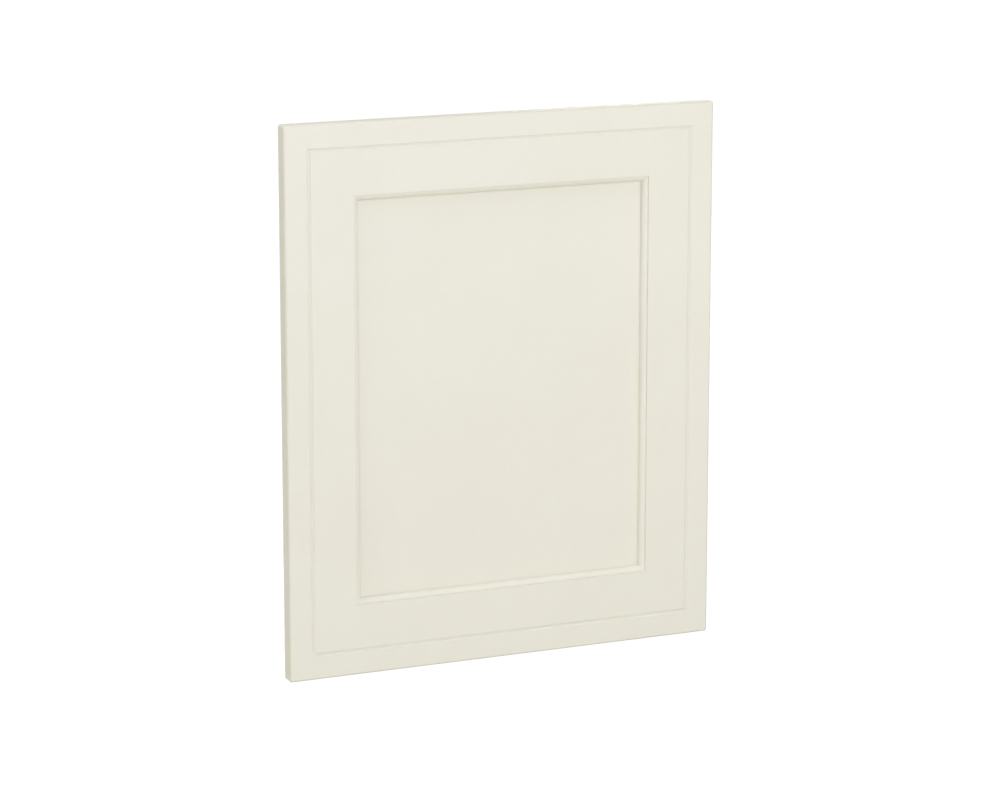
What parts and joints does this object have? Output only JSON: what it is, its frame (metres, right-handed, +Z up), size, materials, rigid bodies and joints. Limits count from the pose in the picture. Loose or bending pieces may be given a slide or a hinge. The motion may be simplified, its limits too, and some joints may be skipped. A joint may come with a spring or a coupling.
{
  "type": "kitchen cabinet door",
  "caption": "Painted kitchen cabinet door: a mitred frame with a fine line groove and a moulded inner edge round a flat recessed panel, with hinge cup bores in the back of one stile.",
  "frame": {"origin": "middle of the door's width, height and thickness", "axes": "+X to the right and +Z up, as seen from the painted front, which faces -Y; +Y points out of the back"},
  "size_m": [0.597, 0.02, 0.715],
  "materials": {
    "frame_paint": "low-sheen cream paint on fibreboard",
    "panel_paint": "low-sheen cream paint on fibreboard",
    "dowel_beech": "bare beech"
  },
  "bodies": {
    "root": {"left_stile": "frame_paint", "right_stile": "frame_paint", "top_rail": "frame_paint", "bottom_rail": "frame_paint", "centre_panel": "panel_paint", "top_left_dowel_1": "dowel_beech", "top_left_dowel_2": "dowel_beech", "top_right_dowel_1": "dowel_beech", "top_right_dowel_2": "dowel_beech", "bottom_left_dowel_1": "dowel_beech", "bottom_left_dowel_2": "dowel_beech", "bottom_right_dowel_1": "dowel_beech", "bottom_right_dowel_2": "dowel_beech"}
  },
  "joints": []
}
